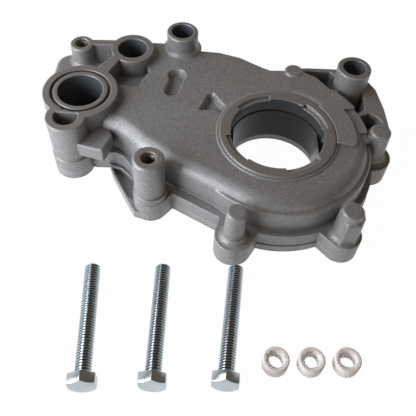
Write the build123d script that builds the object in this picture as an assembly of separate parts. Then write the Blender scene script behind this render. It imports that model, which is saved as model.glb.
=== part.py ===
from build123d import *
from math import acos, atan2, cos, degrees, hypot, pi, radians, sin, sqrt, tan
import os

# Crank-driven gerotor oil pump of an engine, with its mounting bolts and sleeves beside it.
# Millimetres. The origin is on the crankshaft's axis in the pump's rear mounting face.
# +Z runs along the crankshaft out of the pump's front, and the pump lies on its rear face.

# Heights above the rear mounting face
COVER_T = 5.0            # thickness of the rear cover
FLANGE_TOP = 14.0        # top of the joint flange round the body
TIER_TOP = 28.4          # step in the wall round the rotor chamber
BODY_TOP = 33.5          # cast front face
LIP_TOP = 35.0           # machined ring round the crankshaft opening
PORT_TOP = 39.0          # machined faces of the port flanges
BOSS_TOP = 46.0          # seats of the mounting bolts
RIM_TOP = 32.0           # top of the open pockets' rim

# Rotor set
ECC_X, ECC_Y = 2.5, -1.0      # outer rotor's axis, beside the crankshaft's
ECC = hypot(ECC_X, ECC_Y)
LOBES = 10                    # inward lobes of the outer rotor; the inner rotor has one fewer
LOBE_R = 6.5                  # radius of an outer rotor lobe
LOBE_CENTRE_R = 40.7          # circle that the lobes' centres lie on
MESH_GAP = 0.08               # clearance between the rotors' teeth
OUTER_ROTOR_R = 44.5
ROTOR_T = 20.9
RUN_GAP = 0.06                # running clearance at a face or on a radius
CHAMBER_TOP = COVER_T + ROTOR_T + 2 * RUN_GAP
DRIVE_R = 26.2                # bore of the inner rotor
DRIVE_FLAT = 24.6             # distance from the axis to each of its two driving flats

# Crankshaft opening
LIP_R = 26.7
REAR_BORE_R = 27.4
LIP_RING_R = 33.0
LEDGE_OUT, LEDGE_DEPTH = 29.4, 1.5       # four short ledges let into the ring
LEDGE_ANGLES = [121.0, 33.0, -59.0, -149.0]

# Outline of the rotor housing: three steps on the outer rotor's axis
COVER_R = 56.5
FLANGE_R = 56.0
TIER_R = 52.2
DOME_R = 50.3
SHOULDER_R = 8.0          # rounding of the front face's near edge; its far edge is sharp
LAND_TOP, LAND_R = 35.2, 45.0        # raised land beyond the machined ring
RECESS_DEPTH = 4.0                   # hook and wedge let into the front face

# Oil ways
GALLERY_TOP = 24.5        # roofs of the galleries between the chamber and the ports
KIDNEY_TOP = 28.0         # roofs of the kidneys in the chamber's end wall

# Ports: centre and radii of the openings in the front face
PORT_A = (-115.0, 18.6)       # large port, with the seal groove
PORT_A_R, PORT_A_FLANGE_R = 13.15, 21.6
GROOVE_IN, GROOVE_OUT, GROOVE_DEPTH = 15.7, 17.6, 2.6
PORT_B = (-89.8, 58.9)        # small port
PORT_B_R, PORT_B_FLANGE_R = 9.05, 13.1
PORT_C = (-119.5, -2.9)       # flat-sided round port at the front corner
PORT_C_R, PORT_C_FLAT, PORT_C_WALL = 7.0, 2.9, 4.1    # radius, height of its flat side, wall
COLUMN_FOOT = (-118.6, -4.4, 11.4)    # x, y and radius of the column under it, at the rear
LOBE_TOP, LOBE_ROUND = 26.0, 3.0      # lobe over the relief valve
PAD_LOW, PAD_TOP = 17.5, 27.0         # pad beside the column

# Mounting bosses, bored right through: x, y, outer radius, hole radius, height
TALL_BOSSES = [(-59.6, 69.7, 9.7, 6.9, BOSS_TOP), (45.4, 46.6, 10.1, 6.9, BOSS_TOP)]
FRONT_BOSS = (-69.3, -33.0, 8.6, 4.2, 43.5)
SIDE_BOSS = (-121.6, 60.6, 7.2, 4.2, PORT_TOP)
FRONT_EAR_R, FRONT_EAR_TOP = 9.8, 18.0
LUG_TOP = 31.0            # angular lump round the closed boss at the front right

# Closed bosses over the cover screws: x, y, boss radius, ear radius, top
SCREW_BOSSES = [
    (-21.6, -58.0, 5.3, 10.5, 36.0),
    (38.2, -52.2, 5.8, 9.8, 36.0),
    (59.3, 5.6, 5.9, 11.3, 36.0),
    (10.8, 52.4, 5.6, 9.5, 36.0),
    (-131.0, 53.4, 4.0, 6.0, 20.0),
    (-103.5, 1.2, 4.0, 6.0, 20.0),
]
SCREW_R, SCREW_HEAD_R, SCREW_LENGTH = 3.0, 5.6, 18.0
SCREW_HEAD_T = 3.0

# Dowels between the cover and the body: angle round the outer rotor's axis
DOWEL_ANGLES = [-22.0, 97.0]
DOWEL_CENTRE_R, DOWEL_R, DOWEL_LENGTH = 50.4, 2.5, 9.0

# Pressure relief valve, along X inside the lobe at the small ports' end
VALVE_Y, VALVE_Z = 42.6, 15.0
VALVE_MOUTH_X, VALVE_SEAT_X, VALVE_END_X = -138.0, -106.0, -101.0
VALVE_R, VALVE_FEED_R = 6.5, 4.2
PLUNGER_LENGTH, PLUG_LENGTH = 15.0, 8.0
SPRING_R, SPRING_WIRE_R, SPRING_TURNS = 4.0, 0.9, 5

# Mounting hardware laid out in front of the pump
BOLT_R, BOLT_LENGTH, HEAD_FLATS, HEAD_T = 4.0, 60.0, 13.0, 5.5
TIP_BEVEL, CROWN_SLOPE, HEAD_TURN = 1.0, 30.0, 15.0     # turn of the hexagon from lying flat
BOLT_TIPS = [(-95.0, -77.9, 5.5), (-58.0, -75.2, 1.2), (-19.2, -72.7, -3.2)]
SLEEVE_R, SLEEVE_BORE_R, SLEEVE_LENGTH = 6.5, 4.1, 8.0
SLEEVES = [(1.3, -123.0), (18.6, -122.0), (36.2, -120.8)]


def disc(x, y, r):
    """Round face about a point."""
    return Pos(x, y) * Circle(r)


def outline(*points):
    """Straight-sided face through points, facing up whichever way round they run."""
    face = Polygon(*points, align=None)
    return face if face.faces()[0].normal_at().Z > 0 else outline(*reversed(points))


def link(a, b):
    """Face between two discs (x, y, r) and their outer tangents."""
    span = hypot(b[0] - a[0], b[1] - a[1])
    along = atan2(b[1] - a[1], b[0] - a[0])
    lean = acos((a[2] - b[2]) / span)
    corners = []
    for x, y, r, side in [(*a, 1), (*b, 1), (*b, -1), (*a, -1)]:
        turn = along + side * lean
        corners.append((x + r * cos(turn), y + r * sin(turn)))
    web = outline(*corners)
    return web + disc(*a) + disc(*b)


def sector(middle, half):
    """Wedge from the axis out past the housing, about a direction in degrees."""
    turns = [radians(middle + half * step) for step in (-1.0, -0.5, 0.0, 0.5, 1.0)]
    return outline((0.0, 0.0), *[(70.0 * cos(turn), 70.0 * sin(turn)) for turn in turns])


def solid(face, low, high, taper=0.0):
    """Face pushed up from one height to another."""
    return Pos(0, 0, low) * extrude(face, high - low, taper=taper)


def housing(r):
    """Disc on the outer rotor's axis."""
    return disc(ECC_X, ECC_Y, r)


def flange_outline(ring_r):
    """Outline of the joint between body and cover, with an ear at each screw."""
    face = housing(ring_r)
    for x, y, _, ear_r, _ in SCREW_BOSSES[:4]:
        root = (0.78 * x, 0.78 * y, ear_r + 2.0)
        face += link((x, y, ear_r), root)
    left = outline(
        (-24.0, -50.3), (-58.0, -32.5), (-81.4, -17.5), (-84.2, -13.0), (-88.0, -8.2),
        (-92.5, -5.6), (-97.0, -5.6), (-106.0, -6.0), (-118.0, -4.0), (-136.3, 18.0), (-138.4, 30.0),
        (-138.4, 56.5), (-129.0, 66.0), (-103.0, 69.5), (-79.0, 73.6), (-59.0, 76.0),
        (-43.9, 69.3), (-26.0, 65.8), (-6.7, 58.2), (8.0, 50.0), (0.0, 0.0))
    face += left
    face += disc(*PORT_A, PORT_A_FLANGE_R) + disc(*PORT_B, PORT_B_FLANGE_R)
    face += disc(*COLUMN_FOOT) + valve_lobe()
    face += link((FRONT_BOSS[0], FRONT_BOSS[1], FRONT_EAR_R), (-62.0, -18.0, 13.0))
    face += basket_outline()
    return face


def basket_outline():
    """Corner beside the chamber that holds the open pockets and a mounting boss."""
    return outline(
        (8.0, 57.8), (20.0, 59.8), (38.2, 60.5), (48.0, 58.2), (58.0, 50.0), (61.5, 43.6),
        (64.6, 27.0), (66.0, 8.0), (50.0, 0.0), (0.0, 40.0))


def valve_lobe():
    """Outline of the lobe that holds the relief valve."""
    block = outline((-138.8, 30.0), (-138.8, 66.0), (-98.0, 66.0), (-98.0, 30.0))
    return fillet(block.vertices().group_by(Axis.X)[0].sort_by(Axis.Y)[-1], 9.5)


def upper_outline():
    """Outline of the body above the flange: the chamber and the lobe to the ports."""
    lobe = outline(
        (-22.7, -44.5), (-61.0, -24.6), (-78.5, -12.6), (-85.5, -5.8), (-92.5, -0.8), (-110.0, 5.5),
        (-112.0, 34.0), (-97.0, 52.0), (-84.0, 70.0), (-59.0, 70.0),
        (-36.0, 64.0), (-22.0, 58.0), (2.0, 40.0), (2.0, 0.0))
    corners = lobe.vertices().filter_by_position(Axis.X, -96.0, -50.0)
    return fillet(corners, 5.0) + housing(DOME_R)


def far_outline():
    """Part of the front face whose far edge is sharp, from the small port to the pockets."""
    edge = outline(
        (-97.0, 52.0), (-84.0, 72.2), (-69.2, 72.4), (-59.6, 70.6), (-49.6, 67.4), (-35.6, 66.9),
        (-22.7, 63.4), (-11.3, 57.0), (-3.8, 53.0), (15.6, 52.6), (24.2, 48.0), (32.7, 37.6),
        (20.0, 20.0), (-60.0, 36.0))
    return edge + (housing(DOME_R - 0.2) & Pos(ECC_X, ECC_Y) * sector(30.0, 22.0))


def body_shell():
    """Outside of the casting: flange, stepped chamber wall, lobe and bosses."""
    shell = solid(flange_outline(FLANGE_R), COVER_T, FLANGE_TOP)
    tier = solid(housing(TIER_R), FLANGE_TOP, TIER_TOP)
    shell += fillet(tier.faces().sort_by(Axis.Z)[-1].edges(), 1.2)
    upper = solid(upper_outline(), FLANGE_TOP - 1.0, BODY_TOP)
    shell += fillet(upper.faces().sort_by(Axis.Z)[-1].edges(), SHOULDER_R)
    shell += solid(far_outline(), FLANGE_TOP, BODY_TOP)
    shell += solid(basket_outline(), COVER_T, RIM_TOP) + front_face_lands()
    shell -= face_relief()
    for x, y, boss_r, _, top in SCREW_BOSSES:
        boss = solid(disc(x, y, boss_r + 0.9), COVER_T, top, taper=1.6)
        shell += fillet(boss.faces().sort_by(Axis.Z)[-1].edges(), 1.4)
    for x, y, boss_r, _, _ in SCREW_BOSSES[:3]:
        shell += cove(x, y, boss_r + 0.5, FLANGE_TOP, 3.0)
    return shell + port_bosses() + mounting_bosses() + square_lug()


def front_face_lands():
    """Ring round the crankshaft opening, in two steps, and the land that rises beyond it."""
    land = Circle(LAND_R) & sector(20.0, 28.5)
    land = fillet(land.vertices().filter_by_position(Axis.Y, -20.0, -1.0), 2.5)
    land += far_outline() & outline((-8.0, 30.0), (-8.0, 80.0), (60.0, 80.0), (60.0, 27.0), (30.0, 20.0))
    land = solid(land - Circle(LIP_RING_R + 0.6), BODY_TOP - 1.0, LAND_TOP)
    ramp = outline((-10.0, BODY_TOP - 0.1), (14.0, LAND_TOP + 0.1), (14.0, LAND_TOP + 2.0), (-10.0, LAND_TOP + 2.0))
    land -= Pos(0, 90.0, 0) * extrude(Plane.XZ * ramp, 80.0)
    slope = Pos(0, 0, BODY_TOP + 0.2) * Cone(LIP_RING_R + 1.0, LIP_RING_R + 5.0, LAND_TOP - BODY_TOP,
                                             align=(Align.CENTER, Align.CENTER, Align.MIN))
    land -= slope & solid(sector(67.0, 24.0), BODY_TOP, LAND_TOP + 1.0)
    lands = solid(Circle(LIP_RING_R + 1.8), BODY_TOP - 1.0, BODY_TOP + 0.6)
    return lands + solid(Circle(LIP_RING_R), BODY_TOP - 1.0, LIP_TOP) + land


def cove(x, y, r, z, size):
    """Foot of a round boss, swept out to the surface that the boss stands on."""
    inner = Polyline((r + size, 0), (r - 1.0, 0), (r - 1.0, size), (r, size))
    hollow = ThreePointArc((r, size), (r + 0.33 * size, 0.33 * size), (r + size, 0))
    profile = Plane.XZ * make_face(Curve() + [inner, hollow])
    return Pos(x, y, z) * revolve(profile, Axis.Z)


def port_bosses():
    """Port flanges, the tall column under the flat-sided port and the valve's lobe."""
    flange = disc(*PORT_A, PORT_A_FLANGE_R) + disc(*PORT_B, PORT_B_FLANGE_R)
    flange += link((*PORT_A, 6.0), (PORT_B[0] - 8.0, PORT_B[1] - 8.0, 2.4))
    flange += Pos(-107.0, 62.8) * Rotation(0, 0, 4.0) * Rectangle(22.0, 4.4)
    bosses = solid(flange, COVER_T, PORT_TOP)
    mouth = Pos(0, 0, PORT_TOP) * disc(*PORT_C, PORT_C_R + PORT_C_WALL)
    x, y, r = COLUMN_FOOT
    bosses += loft([Pos(0, 0, COVER_T) * disc(x, y, r - 0.6), mouth])
    lobe = solid(valve_lobe(), COVER_T, LOBE_TOP)
    bosses += fillet(lobe.faces().sort_by(Axis.Z)[-1].edges(), LOBE_ROUND)
    pad = solid(outline((-112.8, -12.9), (-97.8, -16.1), (-93.9, -4.2), (-97.0, 3.0), (-112.0, 3.0)),
                PAD_LOW, PAD_TOP)
    return bosses + fillet(pad.edges(), 1.2)


def mounting_bosses():
    """Bosses that the mounting bolts pass through."""
    x, y, r, _, top = FRONT_BOSS
    bosses = rounded_boss(x, y, r, top, 1.0) + solid(disc(x, y, FRONT_EAR_R), COVER_T, FRONT_EAR_TOP, taper=1.5)
    for x, y, r, _, top in TALL_BOSSES:
        bosses += rounded_boss(x, y, r, top, 0.6)
    x, y, r, _, top = SIDE_BOSS
    bosses += rounded_boss(x, y, r, top, 0.6) + cove(x, y, r, LOBE_TOP, 2.5)
    x, y, r, _, _ = TALL_BOSSES[0]
    return bosses + cove(x, y, r, BODY_TOP, 2.4)


def rounded_boss(x, y, r, top, edge):
    """Straight round boss with a broken top edge."""
    boss = solid(disc(x, y, r), COVER_T, top)
    return chamfer(boss.faces().sort_by(Axis.Z)[-1].edges(), edge)


def square_lug():
    """Angular lump cast round the closed boss at the front right."""
    x, y, *_ = SCREW_BOSSES[1]
    sides = outline((x - 3.4, y - 8.3), (x + 5.2, y - 7.2), (x + 8.5, y - 1.2), (x + 8.5, y + 6.0),
                    (x - 6.0, y + 6.0))
    lug = solid(sides, COVER_T, LUG_TOP, taper=2.0)
    return chamfer(lug.faces().sort_by(Axis.Z)[-1].edges(), 1.0)


def front_bores():
    """Everything bored or cored into the casting from its front."""
    cut = solid(disc(0, 0, LIP_R), CHAMBER_TOP - 1.0, LIP_TOP + 1.0)
    cut += solid(disc(*PORT_A, PORT_A_R), 8.0, PORT_TOP + 1.0)
    cut += solid(disc(*PORT_B, PORT_B_R), 8.0, PORT_TOP + 1.0)
    groove = disc(*PORT_A, GROOVE_OUT) - disc(*PORT_A, GROOVE_IN)
    cut += solid(groove, PORT_TOP - GROOVE_DEPTH, PORT_TOP + 1.0)
    below = Pos(PORT_C[0], PORT_C[1] + PORT_C_FLAT - 15.0) * Rectangle(30.0, 30.0)
    round_port = disc(*PORT_C, PORT_C_R) & below
    cut += solid(fillet(round_port.vertices(), 1.0), 9.0, PORT_TOP + 1.0)
    for x, y, _, hole_r, top in TALL_BOSSES + [FRONT_BOSS, SIDE_BOSS]:
        cut += solid(disc(x, y, hole_r), 0.0, top + 1.0)
    ledge = Circle(LEDGE_OUT) - Circle(LIP_R - 1.0)
    for angle in LEDGE_ANGLES:
        cut += solid(ledge & sector(angle, 22.0), LIP_TOP - LEDGE_DEPTH, LIP_TOP + 1.0)
    for side in (-1, 1):
        cut += solid(disc(side * (LIP_R - 0.4), 0.0, 2.6), CHAMBER_TOP - 1.0, LIP_TOP - 3.0)
    leak = link((-122.6, 3.8, 1.2), (-121.9, 2.6, 1.1))
    return cut + solid(leak, PORT_TOP - GROOVE_DEPTH, PORT_TOP + 1.0)


def rotor_chamber():
    """Round pocket of the rotors and the two kidneys in its end wall."""
    cut = solid(housing(OUTER_ROTOR_R + RUN_GAP), COVER_T - 1.0, CHAMBER_TOP)
    band = housing(39.4) - housing(31.8)
    for middle in [75.0, 255.0]:
        reach = Pos(ECC_X, ECC_Y) * sector(middle, 68.0)
        cut += solid(band & reach, CHAMBER_TOP - 1.0, KIDNEY_TOP)
    return cut


def galleries():
    """Passages from the chamber to the ports, open to the rear and closed by the cover."""
    pressure = link((-60.0, 0.0, 9.0), (-88.0, 17.0, 8.5)) + link((-88.0, 17.0, 8.5), (*PORT_A, 9.0))
    suction = link((-62.0, 40.0, 8.5), (*PORT_B, 8.5))
    cut = solid(pressure + suction, COVER_T - 1.0, GALLERY_TOP)
    reach = link((-60.0, 0.0, 6.0), (-33.0, -8.0, 6.0)) + link((-62.0, 40.0, 6.0), (-28.0, 24.0, 6.0))
    return cut + solid(reach, GALLERY_TOP - 1.0, KIDNEY_TOP)


def valve_bores():
    """Stepped bore of the relief valve, its feed and its spill passage."""
    along = Rotation(0, 90, 0)
    cut = Pos(VALVE_MOUTH_X - 1.0, VALVE_Y, VALVE_Z) * along * extrude(
        Circle(VALVE_R), VALVE_SEAT_X - VALVE_MOUTH_X + 1.0)
    cut += Pos(VALVE_SEAT_X - 1.0, VALVE_Y, VALVE_Z) * along * extrude(
        Circle(VALVE_FEED_R), VALVE_END_X - VALVE_SEAT_X + 1.0)
    feed = Pos(VALVE_END_X - 3.0, VALVE_Y, VALVE_Z) * Rotation(90, 0, 0) * extrude(Circle(2.6), 22.0)
    spill = Pos(-111.0, 47.0) * Rectangle(5.0, 10.0) + link((-111.0, 51.0, 2.4), (-98.0, 55.0, 2.4))
    return cut + feed + solid(spill, COVER_T - 1.0, VALVE_Z)


def basket_pockets():
    """Three deep open pockets between the chamber, the rim and the bosses."""
    x, y, r, _, _ = TALL_BOSSES[1]
    inside = outline((14.0, 46.0), (16.0, 54.6), (19.0, 57.2), (34.0, 57.7), (37.0, 54.4), (42.0, 54.0),
                     (51.8, 43.0), (53.4, 37.0), (52.6, 24.6), (60.0, 20.8), (62.3, 16.0), (61.0, 9.0),
                     (50.0, 2.0), (20.0, 30.0))
    inside -= housing(DOME_R - 0.4)
    inside -= outline((10.0, 40.0), (10.0, 52.35), (15.4, 52.35), (24.0, 47.75), (32.45, 37.35), (20.0, 25.0))
    inside -= disc(x, y, r - 0.1) + disc(SCREW_BOSSES[2][0], SCREW_BOSSES[2][1], 7.0)
    inside -= disc(SCREW_BOSSES[3][0], SCREW_BOSSES[3][1], 6.8)
    inside -= link((31.0, 34.5, 1.3), (44.0, 47.6, 1.3)) + link((44.0, 18.4, 1.2), (54.0, 24.6, 1.5))
    return solid(inside, 9.0, RIM_TOP + 1.0)


def face_relief():
    """Recesses cast into the front face, with sloping walls."""
    plan = outline((-102.0, 41.0), (-94.0, 50.0), (-80.0, 50.0), (-78.2, 44.0), (-81.6, 37.0), (-82.6, 30.0),
                   (-95.0, 30.4), (-100.0, 32.0))
    corners = plan.vertices().filter_by_position(Axis.X, -96.0, -77.0).filter_by_position(Axis.Y, 29.0, 45.0)
    scoop = solid(fillet(corners, 1.6), 20.0, BODY_TOP + 1.0)
    floor = Plane.YZ * outline((29.0, 35.5), (34.0, 30.0), (40.0, 28.0), (56.0, 26.8), (56.0, 36.0))
    scoop &= Pos(-110.0, 0, 0) * extrude(floor, 40.0)
    hook = disc(-61.0, 43.3, 5.8) + link((-60.6, 41.0, 4.6), (-63.0, 29.4, 4.6))
    wedge = outline((-46.2, 14.6), (-41.3, 29.0), (-38.0, 30.3), (-30.2, 19.6), (-32.6, 12.9),
                    (-37.5, 15.6))
    sunk = Pos(0, 0, BODY_TOP) * extrude(hook, -RECESS_DEPTH, taper=24.0)
    return scoop + sunk + Pos(0, 0, BODY_TOP) * extrude(fillet(wedge.vertices(), 0.8), -RECESS_DEPTH, taper=26.0)


def screw_holes():
    """Blind holes of the cover screws and dowels, from the rear."""
    cut = None
    for x, y, *_ in SCREW_BOSSES:
        hole = solid(disc(x, y, SCREW_R), 0.0, min(SCREW_LENGTH, 16.0) + 3.0)
        cut = hole if cut is None else cut + hole
    for angle in DOWEL_ANGLES:
        x = ECC_X + DOWEL_CENTRE_R * cos(radians(angle))
        y = ECC_Y + DOWEL_CENTRE_R * sin(radians(angle))
        cut += solid(disc(x, y, DOWEL_R), 0.0, DOWEL_LENGTH + 1.5)
    return cut


def pump_body():
    """Die-cast housing with the rotor chamber, galleries, ports and bosses."""
    cut = front_bores() + rotor_chamber() + galleries() + valve_bores()
    cut += basket_pockets() + screw_holes()
    return body_shell() - cut


def rear_cover():
    """Flat cover over the rotors and galleries, with a dished web at the front corner."""
    web = outline((-97.5, -6.0), (-94.0, -14.5), (-84.5, -30.7), (-78.4, -40.6), (-69.3, -43.0),
                  (-60.0, -20.0))
    cover = solid(flange_outline(COVER_R) + web, 0.0, COVER_T)
    dish = outline((-95.0, -9.5), (-92.6, -14.2), (-83.2, -30.0), (-79.4, -33.0), (-77.6, -26.0),
                   (-81.5, -17.5), (-90.0, -9.9))
    cover -= solid(dish, 1.2, COVER_T + 1.0)
    cover -= solid(disc(0, 0, REAR_BORE_R), -1.0, COVER_T + 1.0)
    for x, y, _, hole_r, _ in TALL_BOSSES + [FRONT_BOSS, SIDE_BOSS]:
        cover -= solid(disc(x, y, hole_r), -1.0, COVER_T + 1.0)
    for x, y, *_ in SCREW_BOSSES:
        cover -= solid(disc(x, y, SCREW_R + 0.3), -1.0, COVER_T + 1.0)
        cover -= Pos(x, y, 0.0) * Cone(SCREW_HEAD_R + 0.3, SCREW_R + 0.3, SCREW_HEAD_T,
                                       align=(Align.CENTER, Align.CENTER, Align.MIN))
    for angle in DOWEL_ANGLES:
        x = ECC_X + DOWEL_CENTRE_R * cos(radians(angle))
        y = ECC_Y + DOWEL_CENTRE_R * sin(radians(angle))
        cover -= solid(disc(x, y, DOWEL_R), 1.5, COVER_T + 1.0)
    return cover


def tooth_point(turn):
    """Point of the inner rotor's outline, rolled inside the ring of outer lobes."""
    lobe_r = LOBE_R + MESH_GAP
    mesh = (1 - LOBES) * turn
    lean = atan2(sin(mesh), LOBE_CENTRE_R / (ECC * LOBES) - cos(mesh))
    x = LOBE_CENTRE_R * cos(turn) - lobe_r * cos(turn + lean) - ECC * cos(LOBES * turn)
    y = -LOBE_CENTRE_R * sin(turn) + lobe_r * sin(turn + lean) + ECC * sin(LOBES * turn)
    return (x, y)


def mesh_angle():
    """Direction from the outer rotor's axis to the crankshaft's, in degrees."""
    return degrees(atan2(-ECC_Y, -ECC_X))


def inner_rotor():
    """Inner gerotor with one lobe fewer, bored for the crankshaft's two flats."""
    arcs = 10 * (LOBES - 1)
    points = [tooth_point(pi * i / arcs) for i in range(2 * arcs)]
    outside = Curve() + [
        ThreePointArc(points[i], points[i + 1], points[(i + 2) % len(points)])
        for i in range(0, len(points), 2)]
    face = Rotation(0, 0, mesh_angle()) * make_face(outside)
    bore = Circle(DRIVE_R) & Rectangle(2 * DRIVE_FLAT, 2 * DRIVE_R)
    return solid(face - bore, COVER_T + RUN_GAP, COVER_T + RUN_GAP + ROTOR_T)


def outer_rotor():
    """Outer gerotor ring with round inward lobes."""
    cavity = Circle(LOBE_CENTRE_R - LOBE_R + 2 * ECC + 0.2)
    for i in range(LOBES):
        angle = 2 * pi * i / LOBES
        cavity -= disc(LOBE_CENTRE_R * cos(angle), LOBE_CENTRE_R * sin(angle), LOBE_R)
    ring = Circle(OUTER_ROTOR_R) - cavity
    ring = Pos(ECC_X, ECC_Y) * Rotation(0, 0, mesh_angle()) * ring
    return solid(ring, COVER_T + RUN_GAP, COVER_T + RUN_GAP + ROTOR_T)


def along_valve(x, profile, length):
    """Profile pushed along the relief valve's axis from x."""
    return Pos(x, VALVE_Y, VALVE_Z) * Rotation(0, 90, 0) * extrude(profile, length)


def relief_plunger():
    """Cup-shaped plunger, open towards the spring."""
    back = VALVE_SEAT_X - 0.1 - PLUNGER_LENGTH
    cup = along_valve(back, Circle(VALVE_R - RUN_GAP), PLUNGER_LENGTH)
    cup -= along_valve(back - 1.0, Circle(SPRING_R + SPRING_WIRE_R + 0.2), PLUNGER_LENGTH - 3.0)
    return cup - along_valve(back + 12.2, Circle(VALVE_R + 1.0) - Circle(VALVE_R - 0.8), 1.5)


def relief_spring():
    """Coil spring between the plunger's floor and the plug."""
    high = VALVE_SEAT_X - 0.1 - 4.0 - 0.1 - SPRING_WIRE_R
    low = VALVE_MOUTH_X + PLUG_LENGTH + 0.1 + SPRING_WIRE_R
    coil = Helix((high - low) / SPRING_TURNS, high - low, SPRING_R)
    wire = sweep(Plane(coil @ 0, z_dir=coil % 0) * Circle(SPRING_WIRE_R), path=coil, is_frenet=True)
    return Pos(low, VALVE_Y, VALVE_Z) * Rotation(0, 90, 0) * wire


def relief_plug():
    """Screwed plug that closes the relief valve, with a hexagon socket."""
    plug = along_valve(VALVE_MOUTH_X, Circle(VALVE_R), PLUG_LENGTH)
    return plug - along_valve(VALVE_MOUTH_X - 1.0, RegularPolygon(3.5, 6), 5.0)


def cover_screw(x, y):
    """Countersunk screw, flush with the rear face."""
    head = Cone(SCREW_HEAD_R, SCREW_R, SCREW_HEAD_T, align=(Align.CENTER, Align.CENTER, Align.MIN))
    shank = solid(Circle(SCREW_R - 0.02), SCREW_HEAD_T - 0.5, SCREW_LENGTH)
    socket = solid(RegularPolygon(2.6, 6), -1.0, 2.2)
    return Pos(x, y, 0) * (Pos(0, 0, 0.05) * head + shank - socket)


def dowel_pin(angle):
    """Locating dowel between cover and body."""
    x = ECC_X + DOWEL_CENTRE_R * cos(radians(angle))
    y = ECC_Y + DOWEL_CENTRE_R * sin(radians(angle))
    pin = solid(Circle(DOWEL_R - 0.01), 1.6, 1.6 + DOWEL_LENGTH - 0.8)
    return Pos(x, y, 0) * chamfer(pin.edges().filter_by(GeomType.CIRCLE), 0.4)


def mounting_bolt(x, y, heading):
    """Hexagon bolt lying on its head and on its tip, tip first along +Y."""
    shank = solid(Circle(BOLT_R), 0.0, BOLT_LENGTH)
    shank = chamfer(shank.faces().sort_by(Axis.Z)[-1].edges(), TIP_BEVEL)
    hexagon = RegularPolygon(HEAD_FLATS / 2, 6, rotation=HEAD_TURN, major_radius=False)
    crown_r = HEAD_FLATS / 2 - 0.2
    spread = HEAD_T / tan(radians(CROWN_SLOPE))
    crown = Pos(0, 0, -HEAD_T) * Cone(crown_r, crown_r + spread, HEAD_T,
                                      align=(Align.CENTER, Align.CENTER, Align.MIN))
    bolt = shank + (solid(hexagon, -HEAD_T, 0.0) & crown)
    head_reach = HEAD_FLATS / sqrt(3.0) * cos(radians(30.0 - HEAD_TURN))
    droop = degrees(atan2(head_reach - BOLT_R, BOLT_LENGTH))
    laid = Rotation(0, 0, heading) * Rotation(-90 - droop, 0, 0) * bolt
    reach = BOLT_LENGTH * cos(radians(droop))
    low = laid.bounding_box().min.Z
    return Pos(x + reach * sin(radians(heading)), y - reach * cos(radians(heading)), -low) * laid


def bolt_sleeve(x, y):
    """Short plastic sleeve that centres a bolt in its boss, standing on end."""
    tube = solid(Circle(SLEEVE_R) - Circle(SLEEVE_BORE_R), 0.0, SLEEVE_LENGTH)
    outer = tube.edges().filter_by(GeomType.CIRCLE)
    return Pos(x, y, 0) * chamfer(outer, 0.5)


def parts():
    """Every node of the pump by name."""
    made = {
        "pump_body": pump_body(),
        "rear_cover": rear_cover(),
        "outer_rotor": outer_rotor(),
        "inner_rotor": inner_rotor(),
        "relief_plunger": relief_plunger(),
        "relief_spring": relief_spring(),
        "relief_plug": relief_plug(),
    }
    for i, (x, y, *_) in enumerate(SCREW_BOSSES, 1):
        made[f"cover_screw_{i}"] = cover_screw(x, y)
    for i, angle in enumerate(DOWEL_ANGLES, 1):
        made[f"dowel_pin_{i}"] = dowel_pin(angle)
    for i, place in enumerate(BOLT_TIPS, 1):
        made[f"mounting_bolt_{i}"] = mounting_bolt(*place)
    for i, place in enumerate(SLEEVES, 1):
        made[f"bolt_sleeve_{i}"] = bolt_sleeve(*place)
    return made


os.makedirs("parts", exist_ok=True)
for node, shape in parts().items():
    export_step(shape, f"parts/{node}.step")
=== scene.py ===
from math import atan2, cos, pi, radians, sin, sqrt, tan

import bpy
from mathutils import Matrix, Vector


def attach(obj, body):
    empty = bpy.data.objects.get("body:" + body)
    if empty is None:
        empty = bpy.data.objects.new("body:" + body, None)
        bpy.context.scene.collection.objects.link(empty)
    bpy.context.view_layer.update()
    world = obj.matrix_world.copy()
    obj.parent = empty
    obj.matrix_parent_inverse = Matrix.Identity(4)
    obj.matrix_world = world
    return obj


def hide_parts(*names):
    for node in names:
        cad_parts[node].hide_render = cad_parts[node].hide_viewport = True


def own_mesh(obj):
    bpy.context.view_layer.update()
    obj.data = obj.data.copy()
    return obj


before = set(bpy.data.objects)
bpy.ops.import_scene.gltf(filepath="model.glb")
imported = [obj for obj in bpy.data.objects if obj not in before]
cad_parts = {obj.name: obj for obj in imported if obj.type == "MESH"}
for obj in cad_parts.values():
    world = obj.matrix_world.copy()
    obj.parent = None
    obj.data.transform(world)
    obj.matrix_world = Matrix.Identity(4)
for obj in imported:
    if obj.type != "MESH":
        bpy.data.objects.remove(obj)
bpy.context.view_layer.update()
bpy.context.scene.view_settings.view_transform = "Standard"


# View of the reference photograph: a 50 mm lens above and in front of the pump, turned a few
# degrees about its own line of sight.
VIEW_PLACE = (-0.0364, -0.2289, 0.2730)
VIEW_ELEVATION, VIEW_ROLL = 54.06, 3.94
LENS_MM, FILM_WIDTH_MM = 50.0, 36.0
pitch = Matrix.Rotation(radians(90.0 - VIEW_ELEVATION), 3, "X")
roll = Matrix.Rotation(radians(VIEW_ROLL), 3, "Z")
bpy.ops.object.camera_add(location=VIEW_PLACE, rotation=(pitch @ roll).to_euler())
camera = bpy.context.object
camera.name = "photo_view"
camera.data.lens = LENS_MM
camera.data.sensor_width = FILM_WIDTH_MM
bpy.context.scene.camera = camera


# Studio table: seamless white paper. The lens and the metal's reflections see it as plain white,
# and it keeps a trace of the pump's shadow.
PAPER_WHITE = "#fafafa"
PAPER_GLOW = 0.98
PAPER_SIZE, PAPER_DROP = 6.0, 0.0002       # the drop keeps the paper clear of the pump's rear face
PLAIN_WHITE = (1.0, 1.0, 1.0, 1.0)


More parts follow.
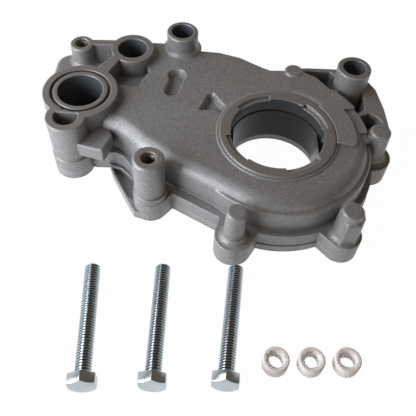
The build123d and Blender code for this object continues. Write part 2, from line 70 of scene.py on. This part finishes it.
def linear(code):
    """Colour that a shader takes, from an sRGB hex value."""
    parts = [int(code[i:i + 2], 16) / 255.0 for i in (1, 3, 5)]
    return [c / 12.92 if c <= 0.04045 else ((c + 0.055) / 1.055) ** 2.4 for c in parts] + [1.0]


def add(tree, kind, values=None, **settings):
    """Adds a node, sets its settings, and gives each socket its value or its link."""
    node = tree.nodes.new(kind)
    for name, value in settings.items():
        setattr(node, name, value)
    for name, value in (values or {}).items():
        socket = node.inputs[name]
        if isinstance(value, bpy.types.NodeSocket):
            tree.links.new(value, socket)
        else:
            socket.default_value = value
    return node


def new_material(name):
    """Empty node material with its output node."""
    material = bpy.data.materials.new(name)
    material.use_nodes = True
    material.node_tree.nodes.clear()
    return material, material.node_tree, add(material.node_tree, "ShaderNodeOutputMaterial")


def dress(obj, material):
    """Gives every face of an object one material."""
    obj.data.materials.clear()
    obj.data.materials.append(material)


def white_share(tree, amount):
    """Amount of plain white that the lens, reflections and clear pieces see. The light that falls
    on the pump gets none of it."""
    path = add(tree, "ShaderNodeLightPath").outputs
    mirrored = add(tree, "ShaderNodeMath", {0: path["Is Glossy Ray"], 1: path["Is Transmission Ray"]},
                   operation="MAXIMUM")
    seen = add(tree, "ShaderNodeMath", {0: path["Is Camera Ray"], 1: mirrored.outputs[0]},
               operation="MAXIMUM")
    return add(tree, "ShaderNodeMath", {0: seen.outputs[0], 1: amount}, operation="MULTIPLY").outputs[0]


bpy.ops.mesh.primitive_plane_add(size=PAPER_SIZE, location=(0.0, 0.0, -PAPER_DROP))
paper_floor = bpy.context.object
paper_floor.name = "paper_floor"
material, tree, out = new_material("white_paper")
paper = add(tree, "ShaderNodeBsdfDiffuse", {"Color": linear(PAPER_WHITE)})
glow = add(tree, "ShaderNodeEmission", {"Color": PLAIN_WHITE, "Strength": 1.0})
mix = add(tree, "ShaderNodeMixShader", {0: white_share(tree, PAPER_GLOW), 1: paper.outputs[0],
                                        2: glow.outputs[0]})
tree.links.new(mix.outputs[0], out.inputs["Surface"])
dress(paper_floor, material)


# Studio light: a cool soft box low at the left, a weaker one higher up beside it, and a dim warm
# room above a white backdrop that the lens and the metal see all round.
ROOM_TONE = "#bba78f"
ROOM_LEVEL = 0.36
BACKDROP_WHITE_TO, BACKDROP_GONE_AT = 0.15, 0.40      # 0 is level and 1 is straight up
world = bpy.data.worlds.new("studio_room")
bpy.context.scene.world = world
world.use_nodes = True
tree = world.node_tree
tree.nodes.clear()
out = add(tree, "ShaderNodeOutputWorld")
way = add(tree, "ShaderNodeTexCoord").outputs["Generated"]
height = add(tree, "ShaderNodeSeparateXYZ", {0: way}).outputs["Z"]
backdrop = add(tree, "ShaderNodeMapRange", {"Value": height, "From Min": BACKDROP_WHITE_TO,
                                            "From Max": BACKDROP_GONE_AT, "To Min": 1.0, "To Max": 0.0})
room = add(tree, "ShaderNodeBackground", {"Color": linear(ROOM_TONE), "Strength": ROOM_LEVEL})
white = add(tree, "ShaderNodeBackground", {"Color": PLAIN_WHITE, "Strength": 1.0})
mix = add(tree, "ShaderNodeMixShader", {0: white_share(tree, backdrop.outputs[0]), 1: room.outputs[0],
                                        2: white.outputs[0]})
tree.links.new(mix.outputs[0], out.inputs["Surface"])

LIGHT_TINT = "#f4f8ff"
LIGHTS = [
    ("key_box", (-0.38, -0.20, 0.14), 0.30, 2.3),
    ("high_box", (-0.42, 0.06, 0.42), 0.26, 1.2),
]
AIM = Vector((-0.03, 0.0, 0.02))
for name, place, size, power in LIGHTS:
    turn = (AIM - Vector(place)).to_track_quat("-Z", "Y").to_euler()
    bpy.ops.object.light_add(type="AREA", location=place, rotation=turn)
    lamp = bpy.context.object
    lamp.name = name
    lamp.data.size = size
    lamp.data.energy = power
    lamp.data.color = linear(LIGHT_TINT)[:3]


# Pump body: pressure die-cast aluminium, shot-blasted to a fine grey grain, with the port faces,
# the bolt seats and the ring round the crankshaft milled flat and its bores turned.
MM = 0.001
BLAST_GREY, BLAST_DARK, RUBBED_EDGE_AND_HIGHLIGHT = "#969697", "#828282", "#d2d2d0"
BLAST_GRAIN = 0.5 * MM         # real grit is 0.1 mm, too fine to show
BLAST_DEPTH = 0.2 * MM
CLOUD_WIDTH = 17.86 * MM       # patches that the blast has left lighter and darker
EDGE_ROUND = 1.1 * MM
CORNER_REACH = 3.0 * MM        # how far the painted shade reaches out of the corners
BLAST_METAL = 0.35             # the blasted skin scatters most of the light
BLAST_ROUGH, CUT_ROUGH = 0.46, 0.36
BLAST_BUMP, CUT_BUMP = 0.35, 0.05
SEAT_GREY, BORE_GREY = "#85827f", "#565a60"
SEATS = (35.0 * MM, 39.0 * MM, 43.5 * MM, 46.0 * MM)
SEAT_SLACK, BORE_SLACK = 0.1 * MM, 0.15 * MM
MILL_STEP, TURN_STEP = 0.952 * MM, 1.047 * MM         # real feeds are finer and would not show
# The bores' grey is darker than the seats', and the crank bore takes only 0.28 of it: painted shade in the
# deep bores.
BORES = [(0.0, 0.0, 26.7, 0.28), (-115.0, 18.6, 13.15, 1.2), (-89.8, 58.9, 9.05, 1.3),
         (-59.6, 69.7, 6.9, 1.3), (45.4, 46.6, 6.9, 1.3)]      # centre and radius in mm, share of the grey


def patch_scale(width):
    """Scale of a noise whose light and dark patches are each this wide."""
    return 1.0 / (2.0 * width)


def ring_scale(step):
    """Scale of a wave texture whose rings are this far apart: it turns 20 radians to the unit."""
    return 2.0 * pi / 20.0 / step


def milled_seats(tree, place, seats):
    """Share of each point that lies on a milled seat, and the seat's streaked colour."""
    height = add(tree, "ShaderNodeSeparateXYZ", {0: place}).outputs["Z"]
    level = 0.0
    for seat in seats:
        near = add(tree, "ShaderNodeMath", {0: height, 1: seat, 2: SEAT_SLACK}, operation="COMPARE")
        level = add(tree, "ShaderNodeMath", {0: near.outputs[0], 1: level}, operation="MAXIMUM").outputs[0]
    rings = add(tree, "ShaderNodeTexWave", {"Vector": place, "Scale": ring_scale(MILL_STEP),
                                            "Distortion": 1.5, "Detail": 1.0},
                wave_type="RINGS", rings_direction="Z")
    streak = add(tree, "ShaderNodeMapRange", {"Value": rings.outputs["Fac"], "To Min": 0.92, "To Max": 1.08})
    bright = add(tree, "ShaderNodeVectorMath", {0: linear(SEAT_GREY)[:3], "Scale": streak.outputs[0]},
                 operation="SCALE")
    return level, bright.outputs[0]


def turned_bores(tree, place, bores):
    """Share of each point that lies in a turned bore, and the bore's ringed colour, darkened with painted
    shade.
    """
    flat = add(tree, "ShaderNodeVectorMath", {0: place, 1: (1.0, 1.0, 0.0)}, operation="MULTIPLY")
    inside, shade = 0.0, 0.0
    for x, y, radius, grey_share in bores:
        away = add(tree, "ShaderNodeVectorMath", {0: flat.outputs[0], 1: (x * MM, y * MM, 0.0)},
                   operation="DISTANCE")
        near = add(tree, "ShaderNodeMath", {0: away.outputs["Value"], 1: radius * MM + BORE_SLACK},
                   operation="LESS_THAN").outputs[0]
        inside = add(tree, "ShaderNodeMath", {0: near, 1: inside}, operation="MAXIMUM").outputs[0]
        part = add(tree, "ShaderNodeMath", {0: near, 1: grey_share}, operation="MULTIPLY")
        shade = add(tree, "ShaderNodeMath", {0: part.outputs[0], 1: shade}, operation="MAXIMUM").outputs[0]
    rings = add(tree, "ShaderNodeTexWave", {"Vector": place, "Scale": ring_scale(TURN_STEP),
                                            "Distortion": 0.4}, wave_type="BANDS", bands_direction="Z")
    ring = add(tree, "ShaderNodeMapRange", {"Value": rings.outputs["Fac"], "To Min": 0.5, "To Max": 1.7})
    lit = add(tree, "ShaderNodeMath", {0: ring.outputs[0], 1: shade}, operation="MULTIPLY")
    bored = add(tree, "ShaderNodeVectorMath", {0: linear(BORE_GREY)[:3], "Scale": lit.outputs[0]},
                operation="SCALE")
    return inside, bored.outputs[0]


def die_cast(name, grey, dark, seats, bores):
    """Shot-blasted die-casting: a matt metal with fine grain, edges lighter from rubbing and from a painted
    highlight, painted shade in its corners, and milled seats and turned bores where it has any."""
    material, tree, out = new_material(name)
    place = add(tree, "ShaderNodeTexCoord").outputs["Object"]
    grain = add(tree, "ShaderNodeTexNoise", {"Vector": place, "Scale": patch_scale(BLAST_GRAIN),
                                             "Detail": 3.0, "Roughness": 0.6}).outputs["Fac"]
    cloud = add(tree, "ShaderNodeTexNoise", {"Vector": place, "Scale": patch_scale(CLOUD_WIDTH),
                                             "Detail": 4.0})
    soft = add(tree, "ShaderNodeBevel", {"Radius": EDGE_ROUND}, samples=6).outputs["Normal"]
    true = add(tree, "ShaderNodeNewGeometry").outputs["True Normal"]
    bend = add(tree, "ShaderNodeVectorMath", {0: soft, 1: true}, operation="DOT_PRODUCT")
    edge = add(tree, "ShaderNodeMapRange", {"Value": bend.outputs["Value"], "From Min": 0.98,
                                            "From Max": 0.80, "To Min": 0.0, "To Max": 0.5})
    tone = add(tree, "ShaderNodeMix", {"Factor": cloud.outputs["Fac"], 6: linear(grey), 7: linear(dark)},
               data_type="RGBA")
    speck = add(tree, "ShaderNodeMapRange", {"Value": grain, "From Min": 0.30, "From Max": 0.70,
                                             "To Min": 0.74, "To Max": 1.26})
    colour = add(tree, "ShaderNodeVectorMath", {0: tone.outputs[2], "Scale": speck.outputs[0]},
                 operation="SCALE").outputs[0]
    rough, strength = BLAST_ROUGH, BLAST_BUMP
    if seats:
        level, bright = milled_seats(tree, place, seats)
        colour = add(tree, "ShaderNodeMix", {"Factor": level, 6: colour, 7: bright},
                     data_type="RGBA").outputs[2]
        inside, bored = turned_bores(tree, place, bores)
        colour = add(tree, "ShaderNodeMix", {"Factor": inside, 6: colour, 7: bored},
                     data_type="RGBA").outputs[2]
        cut = add(tree, "ShaderNodeMath", {0: level, 1: inside}, operation="MAXIMUM").outputs[0]
        rough = add(tree, "ShaderNodeMapRange", {"Value": cut, "To Min": BLAST_ROUGH,
                                                 "To Max": CUT_ROUGH}).outputs[0]
        strength = add(tree, "ShaderNodeMapRange", {"Value": cut, "To Min": BLAST_BUMP,
                                                    "To Max": CUT_BUMP}).outputs[0]
    # Lighter edges: partly real rubbing of the casting, partly a painted highlight along the rounded edges.
    colour = add(tree, "ShaderNodeMix", {"Factor": edge.outputs[0], 6: colour, 7: linear(RUBBED_EDGE_AND_HIGHLIGHT)},
                 data_type="RGBA").outputs[2]
    # Painted shade: the colour darkens towards corners and hollows, where less light reaches.
    corner = add(tree, "ShaderNodeAmbientOcclusion", {"Distance": CORNER_REACH}, samples=8)
    painted_corner_shade = add(tree, "ShaderNodeMapRange", {"Value": corner.outputs["AO"], "From Min": 0.25, "From Max": 0.9,
                                            "To Min": 0.45, "To Max": 1.0})
    corner_shaded = add(tree, "ShaderNodeVectorMath", {0: colour, "Scale": painted_corner_shade.outputs[0]}, operation="SCALE")
    bump = add(tree, "ShaderNodeBump", {"Height": grain, "Strength": strength, "Distance": BLAST_DEPTH,
                                        "Normal": soft})
    shader = add(tree, "ShaderNodeBsdfPrincipled", {
        "Base Color": corner_shaded.outputs[0], "Metallic": BLAST_METAL, "Roughness": rough,
        "Specular IOR Level": 0.3, "Normal": bump.outputs[0]})
    tree.links.new(shader.outputs[0], out.inputs["Surface"])
    return material


dress(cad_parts["pump_body"],
      die_cast("shot_blasted_die_cast_aluminium", BLAST_GREY, BLAST_DARK, SEATS, BORES))


# Rear cover: a second, thinner die-casting, trimmed round its edge and a little brighter than
# the body, screwed to it from behind.
COVER_GREY, COVER_DARK = "#9e9e9f", "#868687"
dress(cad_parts["rear_cover"],
      die_cast("trimmed_die_cast_aluminium", COVER_GREY, COVER_DARK, (), ()))


# Rotors: pressed and sintered iron with ground faces. The pores leave a dark, oily, finely
# speckled grey, made darker still as painted shade inside the pump.
SINTER_GREY, PORE_GREY, OIL_ROUGH = "#242526", "#141415", 0.30
PORE_WIDTH, PORE_DEPTH = 0.2 * MM, 0.1 * MM
GROUND_EDGE = 0.3 * MM
material, tree, out = new_material("oiled_sintered_iron")
place = add(tree, "ShaderNodeTexCoord").outputs["Object"]
pores = add(tree, "ShaderNodeTexNoise", {"Vector": place, "Scale": patch_scale(PORE_WIDTH), "Detail": 2.0})
depth = add(tree, "ShaderNodeMapRange", {"Value": pores.outputs["Fac"], "From Min": 0.35, "From Max": 0.55})
tone = add(tree, "ShaderNodeMix", {"Factor": depth.outputs[0], 6: linear(PORE_GREY), 7: linear(SINTER_GREY)},
           data_type="RGBA")
soft = add(tree, "ShaderNodeBevel", {"Radius": GROUND_EDGE}, samples=4)
bump = add(tree, "ShaderNodeBump", {"Height": depth.outputs[0], "Strength": 0.2, "Distance": PORE_DEPTH,
                                    "Normal": soft.outputs["Normal"]})
shader = add(tree, "ShaderNodeBsdfPrincipled", {"Base Color": tone.outputs[2], "Metallic": 0.7,
                                                "Roughness": OIL_ROUGH, "Normal": bump.outputs[0]})
tree.links.new(shader.outputs[0], out.inputs["Surface"])
for name in ("outer_rotor", "inner_rotor"):
    dress(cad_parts[name], material)


# Relief plunger and dowel pins: hardened steel, centreless ground to a bright skin that the
# wheel's grit leaves finely mottled.
GROUND_GREY, GROUND_DARK = "#a9abad", "#8b8d90"
GRIT_WIDTH, GRIT_DEPTH = 0.3333 * MM, 0.05 * MM       # real grit marks are finer and would not show
material, tree, out = new_material("centreless_ground_steel")
place = add(tree, "ShaderNodeTexCoord").outputs["Object"]
grit = add(tree, "ShaderNodeTexNoise", {"Vector": place, "Scale": patch_scale(GRIT_WIDTH), "Detail": 1.0})
tone = add(tree, "ShaderNodeMix", {"Factor": grit.outputs["Fac"], 6: linear(GROUND_GREY),
                                   7: linear(GROUND_DARK)}, data_type="RGBA")
bump = add(tree, "ShaderNodeBump", {"Height": grit.outputs["Fac"], "Strength": 0.1, "Distance": GRIT_DEPTH})
shader = add(tree, "ShaderNodeBsdfPrincipled", {"Base Color": tone.outputs[2], "Metallic": 1.0,
                                                "Roughness": 0.22, "Normal": bump.outputs[0]})
tree.links.new(shader.outputs[0], out.inputs["Surface"])
for name in ("relief_plunger", "dowel_pin_1", "dowel_pin_2"):
    dress(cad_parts[name], material)


# Relief spring: oil-tempered wire, coiled cold, with a dark blue-grey skin that shines along
# the wire.
WIRE_BLUE, WIRE_SCALE = "#5d6068", "#3a3b40"
SCALE_WIDTH = 1.19 * MM
WIRE_SIDES, COIL_STEPS = 14, 40
COIL_R, WIRE_R, COIL_TURNS, COIL_LENGTH = 4.0 * MM, 0.9 * MM, 5, 17.9 * MM
COIL_START = (-129.0 * MM, 42.6 * MM, 15.0 * MM)
MERGE_REACH = 1e-7
material, tree, out = new_material("oil_tempered_wire")
place = add(tree, "ShaderNodeTexCoord").outputs["Object"]
scale = add(tree, "ShaderNodeTexNoise", {"Vector": place, "Scale": patch_scale(SCALE_WIDTH), "Detail": 3.0})
tone = add(tree, "ShaderNodeMix", {"Factor": scale.outputs["Fac"], 6: linear(WIRE_BLUE),
                                   7: linear(WIRE_SCALE)}, data_type="RGBA")
shader = add(tree, "ShaderNodeBsdfPrincipled", {"Base Color": tone.outputs[2], "Metallic": 1.0,
                                                "Roughness": 0.3})
tree.links.new(shader.outputs[0], out.inputs["Surface"])


def only(obj):
    """Makes one object the selected and active one."""
    bpy.ops.object.select_all(action="DESELECT")
    obj.select_set(True)
    bpy.context.view_layer.objects.active = obj


def wound(sides, thick, place, lean, steps, rise, turns):
    """Closed helix round Z of a regular profile that starts at a place, with its two ends capped."""
    bpy.ops.object.select_all(action="DESELECT")
    bpy.ops.mesh.primitive_circle_add(vertices=sides, radius=thick, fill_type="NOTHING", location=place,
                                      rotation=(pi / 2, lean, 0.0))
    helix = bpy.context.object
    bpy.ops.object.transform_apply(location=True, rotation=True, scale=True)
    winding = helix.modifiers.new("winding", "SCREW")
    winding.steps = steps
    winding.render_steps = steps
    winding.screw_offset = rise
    winding.iterations = turns
    bpy.ops.object.modifier_apply(modifier=winding.name)
    bpy.ops.object.mode_set(mode="EDIT")
    bpy.ops.mesh.select_all(action="SELECT")
    bpy.ops.mesh.remove_doubles(threshold=MERGE_REACH)
    bpy.ops.mesh.fill_holes(sides=sides)
    bpy.ops.mesh.normals_make_consistent(inside=False)
    bpy.ops.object.mode_set(mode="OBJECT")
    return helix


coiled_spring = wound(WIRE_SIDES, WIRE_R, (COIL_R, 0.0, 0.0), 0.0, COIL_STEPS, COIL_LENGTH / COIL_TURNS,
                      COIL_TURNS)
coiled_spring.name = "coiled_spring"
bpy.ops.object.shade_smooth_by_angle(angle=radians(50.0))
coiled_spring.data.transform(Matrix.Translation(COIL_START) @ Matrix.Rotation(pi / 2, 4, "Y"))
dress(coiled_spring, material)
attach(coiled_spring, "housing")
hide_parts("relief_spring")
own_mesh(coiled_spring)


# Cover screws: countersunk socket screws in blackened alloy steel, driven flush into the rear
# cover. The black skin is worn through in small patches.
BLACK_OXIDE, BLACK_WORN = "#1d1d20", "#3c3b3c"
WEAR_WIDTH, SCREW_EDGE = 1.923 * MM, 0.3 * MM
COVER_SCREWS = 6
material, tree, out = new_material("blackened_alloy_steel")
place = add(tree, "ShaderNodeTexCoord").outputs["Object"]
wear = add(tree, "ShaderNodeTexNoise", {"Vector": place, "Scale": patch_scale(WEAR_WIDTH), "Detail": 4.0})
soft = add(tree, "ShaderNodeBevel", {"Radius": SCREW_EDGE}, samples=4)
worn = add(tree, "ShaderNodeMapRange", {"Value": wear.outputs["Fac"], "From Min": 0.45, "From Max": 0.7})
tone = add(tree, "ShaderNodeMix", {"Factor": worn.outputs[0], 6: linear(BLACK_OXIDE), 7: linear(BLACK_WORN)},
           data_type="RGBA")
shader = add(tree, "ShaderNodeBsdfPrincipled", {"Base Color": tone.outputs[2], "Metallic": 0.8,
                                                "Roughness": 0.4, "Normal": soft.outputs["Normal"]})
tree.links.new(shader.outputs[0], out.inputs["Surface"])
for i in range(1, COVER_SCREWS + 1):
    dress(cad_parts[f"cover_screw_{i}"], material)


# Mounting bolts and relief plug: cold-headed steel with rolled threads, bright zinc-plated and
# blue-passivated, which leaves a cool mirror with a faint haze. Painted shade darkens the thread roots.
ZINC_BLUE, ZINC_HAZE, ZINC_ROOT_SHADE = "#c2ccd0", "#a3afb5", "#14191b"
HAZE_WIDTH, DIMPLE_WIDTH, DIMPLE_DEPTH = 3.125 * MM, 1.0 * MM, 0.1 * MM
CAVITY_REACH = 0.9 * MM
SHANK_R, SHANK_LENGTH, TIP_BEVEL = 4.0 * MM, 60.0 * MM, 1.0 * MM
THREAD_PITCH, THREAD_ROOT_R = 1.41 * MM, 3.3 * MM
THREAD_START, RIDGE_OUT = 0.4 * MM, 0.2 * MM
THREAD_TURNS, THREAD_STEPS = 42, 24
RIDGE_SHARE = 0.56             # size of the ridge's triangle, as a share of the pitch
HEAD_FLATS, HEAD_T, HEAD_TURN, CROWN_SLOPE = 13.0 * MM, 5.5 * MM, 2.0, 30.0
CROWN_IN, HEAD_EDGE = 0.2 * MM, 0.15 * MM
BOLT_TIPS = [(-95.0, -77.9, 5.5), (-58.0, -75.2, 1.2), (-19.2, -72.7, -3.2)]      # mm, and heading
material, tree, out = new_material("blue_zinc_plated_steel")
place = add(tree, "ShaderNodeTexCoord").outputs["Object"]
haze = add(tree, "ShaderNodeTexNoise", {"Vector": place, "Scale": patch_scale(HAZE_WIDTH), "Detail": 4.0})
plate = add(tree, "ShaderNodeMix", {"Factor": haze.outputs["Fac"], 6: linear(ZINC_BLUE),
                                    7: linear(ZINC_HAZE)}, data_type="RGBA")
gloss = add(tree, "ShaderNodeMapRange", {"Value": haze.outputs["Fac"], "To Min": 0.14, "To Max": 0.26})
# Painted shade: thread roots and other hollows darken to near black.
open_sky = add(tree, "ShaderNodeAmbientOcclusion", {"Distance": CAVITY_REACH}, samples=8)
unshaded = add(tree, "ShaderNodeMapRange", {"Value": open_sky.outputs["AO"], "From Min": 0.35,
                                         "From Max": 0.85})
tone = add(tree, "ShaderNodeMix", {"Factor": unshaded.outputs[0], 6: linear(ZINC_ROOT_SHADE), 7: plate.outputs[2]},
           data_type="RGBA")
dimple = add(tree, "ShaderNodeTexNoise", {"Vector": place, "Scale": patch_scale(DIMPLE_WIDTH), "Detail": 2.0})
bump = add(tree, "ShaderNodeBump", {"Height": dimple.outputs["Fac"], "Strength": 0.15,
                                    "Distance": DIMPLE_DEPTH})
shader = add(tree, "ShaderNodeBsdfPrincipled", {"Base Color": tone.outputs[2], "Metallic": 1.0,
                                                "Roughness": gloss.outputs[0], "Normal": bump.outputs[0]})
tree.links.new(shader.outputs[0], out.inputs["Surface"])
zinc_plate = material
dress(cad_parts["relief_plug"], zinc_plate)


def cut_with(obj, tool, operation):
    """Applies a boolean of one object with another, and removes the other."""
    only(obj)
    step = obj.modifiers.new("cut", "BOOLEAN")
    step.operation = operation
    step.solver = "EXACT"
    step.object = tool
    bpy.ops.object.modifier_apply(modifier=step.name)
    bpy.data.objects.remove(tool, do_unlink=True)


def soften(obj, width, segments, angle):
    """Rounds every edge of an object that is sharper than an angle."""
    step = obj.modifiers.new("soft_edge", "BEVEL")
    step.width = width
    step.segments = segments
    step.limit_method = "ANGLE"
    step.angle_limit = radians(angle)
    only(obj)
    bpy.ops.object.modifier_apply(modifier=step.name)


def copied(obj, name):
    """Copy of an object, with its own mesh."""
    copy = obj.copy()
    copy.data = obj.data.copy()
    bpy.context.collection.objects.link(copy)
    copy.name = name
    return copy


def thread_ridge(radius, start, turns, apex):
    """Three-sided ridge that climbs round Z, with its apex outward (1) or inward (-1)."""
    return wound(3, THREAD_PITCH * RIDGE_SHARE, (radius, 0.0, start), apex * pi / 2, THREAD_STEPS,
                 THREAD_PITCH, turns)


ridge = thread_ridge(THREAD_ROOT_R + RIDGE_OUT, THREAD_START, THREAD_TURNS, 1)
bpy.ops.mesh.primitive_cylinder_add(vertices=THREAD_STEPS, radius=THREAD_ROOT_R, depth=SHANK_LENGTH,
                                    location=(0.0, 0.0, SHANK_LENGTH / 2))
bolt = bpy.context.object
cut_with(bolt, ridge, "UNION")
bpy.ops.mesh.primitive_cylinder_add(vertices=48, radius=SHANK_R, depth=SHANK_LENGTH + 2 * MM,
                                    location=(0.0, 0.0, SHANK_LENGTH / 2 - 1 * MM))
blank = bpy.context.object
bpy.ops.object.mode_set(mode="EDIT")
bpy.ops.mesh.select_all(action="DESELECT")
bpy.ops.object.mode_set(mode="OBJECT")
for edge in blank.data.edges:
    ends = [(blank.matrix_world @ blank.data.vertices[i].co).z for i in edge.vertices]
    edge.select = min(ends) > SHANK_LENGTH - 0.1 * MM
bpy.ops.object.mode_set(mode="EDIT")
bpy.ops.mesh.select_mode(type="EDGE")
bpy.ops.mesh.bevel(offset=TIP_BEVEL, segments=2, profile=0.6)
bpy.ops.object.mode_set(mode="OBJECT")
cut_with(bolt, blank, "INTERSECT")

head_corner_r = HEAD_FLATS / sqrt(3.0)
bpy.ops.mesh.primitive_cylinder_add(vertices=6, radius=head_corner_r, depth=HEAD_T,
                                    location=(0.0, 0.0, -HEAD_T / 2),
                                    rotation=(0.0, 0.0, radians(-HEAD_TURN)))
head = bpy.context.object
spread = HEAD_T / tan(radians(CROWN_SLOPE))
crown_r = HEAD_FLATS / 2 - CROWN_IN
bpy.ops.mesh.primitive_cone_add(vertices=96, radius1=crown_r, radius2=crown_r + spread, depth=HEAD_T,
                                location=(0.0, 0.0, -HEAD_T / 2))
cut_with(head, bpy.context.object, "INTERSECT")
soften(head, HEAD_EDGE, 2, 20.0)
bolt.select_set(True)
bpy.context.view_layer.objects.active = bolt
bpy.ops.object.join()
bpy.ops.object.transform_apply(location=True, rotation=True, scale=True)
bpy.ops.object.shade_smooth_by_angle(angle=radians(32.0))
dress(bolt, zinc_plate)

# A bolt lies on its head's rim and its tip, so its shank droops a little towards the tip.
head_reach = head_corner_r * cos(radians(30.0 - HEAD_TURN))
droop = atan2(head_reach - SHANK_R, SHANK_LENGTH)
reach = SHANK_LENGTH * cos(droop)
for i, (x, y, heading) in enumerate(BOLT_TIPS, 1):
    laid = copied(bolt, f"threaded_bolt_{i}")
    turn = Matrix.Rotation(radians(heading), 4, "Z") @ Matrix.Rotation(-pi / 2 - droop, 4, "X")
    laid.data.transform(turn)
    low = min(v.co.z for v in laid.data.vertices)
    side, back = reach * sin(radians(heading)), reach * cos(radians(heading))
    laid.data.transform(Matrix.Translation((x * MM + side, y * MM - back, -low)))
    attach(laid, f"mounting_bolt_{i}_body")
    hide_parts(f"mounting_bolt_{i}")
bpy.data.objects.remove(bolt, do_unlink=True)


# Tapped holes: threads cut with a tap into the aluminium of the two short bosses, which leaves
# their flanks bright.
TAPPED = [("tapped_thread_front", -69.3, -33.0, 42.6), ("tapped_thread_side", -121.6, 60.6, 38.1)]
TAPPED_BORE_R, TAPPED_TURNS, TAP_BITE = 4.2 * MM, 9, 0.12 * MM
TAP_RUN_OUT = 0.3              # of a turn
CUT_BRIGHT, CUT_DARK = "#a7a49f", "#6a6561"
SMEAR_WIDTH = 0.5556 * MM
material, tree, out = new_material("cut_aluminium_thread")
place = add(tree, "ShaderNodeTexCoord").outputs["Object"]
smear = add(tree, "ShaderNodeTexNoise", {"Vector": place, "Scale": patch_scale(SMEAR_WIDTH), "Detail": 2.0})
tone = add(tree, "ShaderNodeMix", {"Factor": smear.outputs["Fac"], 6: linear(CUT_BRIGHT),
                                   7: linear(CUT_DARK)}, data_type="RGBA")
shader = add(tree, "ShaderNodeBsdfPrincipled", {"Base Color": tone.outputs[2], "Metallic": 0.8,
                                                "Roughness": 0.3})
tree.links.new(shader.outputs[0], out.inputs["Surface"])
for name, x, y, top in TAPPED:
    thread = thread_ridge(TAPPED_BORE_R - TAP_BITE, 0.0, TAPPED_TURNS, -1)
    thread.name = name
    foot = top * MM - (TAPPED_TURNS + TAP_RUN_OUT) * THREAD_PITCH
    thread.data.transform(Matrix.Translation((x * MM, y * MM, foot)))
    dress(thread, material)
    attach(thread, "housing")


# Bolt sleeves: short tubes of natural nylon, cut from extrusion and a little out of round, with
# soft edges. The plastic is milky white with a dull sheen.
NYLON_MILK, NYLON_WARM = "#f0ecea", "#e2dbd9"
MILK_WIDTH, MARK_WIDTH, MARK_DEPTH = 5.556 * MM, 0.8333 * MM, 0.2 * MM
SLEEVE_R, SLEEVE_BORE_R, SLEEVE_LENGTH, SLEEVE_EDGE = 6.5 * MM, 4.1 * MM, 8.0 * MM, 0.9 * MM
BORE_SQUEEZE = (0.94, 0.82, 1.0)
BORE_WOBBLE = 0.3 * MM
SLEEVE_TURN = 2.1              # radians from one sleeve to the next
SLEEVES = [(1.3, -123.0), (18.6, -122.0), (36.2, -120.8)]
material, tree, out = new_material("natural_nylon")
place = add(tree, "ShaderNodeTexCoord").outputs["Object"]
milk = add(tree, "ShaderNodeTexNoise", {"Vector": place, "Scale": patch_scale(MILK_WIDTH), "Detail": 3.0})
tone = add(tree, "ShaderNodeMix", {"Factor": milk.outputs["Fac"], 6: linear(NYLON_MILK),
                                   7: linear(NYLON_WARM)}, data_type="RGBA")
marks = add(tree, "ShaderNodeTexNoise", {"Vector": place, "Scale": patch_scale(MARK_WIDTH), "Detail": 2.0})
bump = add(tree, "ShaderNodeBump", {"Height": marks.outputs["Fac"], "Strength": 0.2,
                                    "Distance": MARK_DEPTH})
shader = add(tree, "ShaderNodeBsdfPrincipled", {
    "Base Color": tone.outputs[2], "Roughness": 0.45, "IOR": 1.53, "Normal": bump.outputs[0]})
tree.links.new(shader.outputs[0], out.inputs["Surface"])

bpy.ops.object.select_all(action="DESELECT")
bpy.ops.mesh.primitive_cylinder_add(vertices=48, radius=SLEEVE_R, depth=SLEEVE_LENGTH, end_fill_type="NGON",
                                    location=(0.0, 0.0, SLEEVE_LENGTH / 2))
tube = bpy.context.object
bpy.ops.object.transform_apply(location=True, rotation=True, scale=True)
bpy.ops.object.mode_set(mode="EDIT")
bpy.ops.mesh.select_mode(type="FACE")
bpy.ops.mesh.select_all(action="DESELECT")
bpy.ops.object.mode_set(mode="OBJECT")
for face in tube.data.polygons:
    face.select = abs(face.normal.z) > 0.9
bpy.ops.object.mode_set(mode="EDIT")
bpy.ops.mesh.inset(thickness=SLEEVE_R - SLEEVE_BORE_R)
bpy.ops.mesh.bridge_edge_loops(number_cuts=6)
bpy.ops.mesh.select_all(action="SELECT")
bpy.ops.mesh.normals_make_consistent(inside=False)
bpy.ops.mesh.select_mode(type="VERT")
bpy.ops.mesh.select_all(action="DESELECT")
bpy.ops.object.mode_set(mode="OBJECT")
for vertex in tube.data.vertices:
    vertex.select = Vector(vertex.co[:2]).length < SLEEVE_BORE_R + 0.1 * MM
bpy.ops.object.mode_set(mode="EDIT")
bpy.ops.transform.resize(value=BORE_SQUEEZE)
bpy.ops.transform.vertex_random(offset=BORE_WOBBLE, uniform=0.0, normal=0.0, seed=4)
bpy.ops.mesh.vertices_smooth(factor=0.5, repeat=3)
bpy.ops.object.mode_set(mode="OBJECT")
soften(tube, SLEEVE_EDGE, 4, 50.0)
bpy.ops.object.shade_smooth_by_angle(angle=radians(40.0))
dress(tube, material)
for i, (x, y) in enumerate(SLEEVES, 1):
    stood = copied(tube, f"nylon_sleeve_{i}")
    stood.data.transform(Matrix.Translation((x * MM, y * MM, 0.0)) @ Matrix.Rotation(SLEEVE_TURN * i, 4, "Z"))
    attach(stood, f"bolt_sleeve_{i}_body")
    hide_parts(f"bolt_sleeve_{i}")
bpy.data.objects.remove(tube, do_unlink=True)
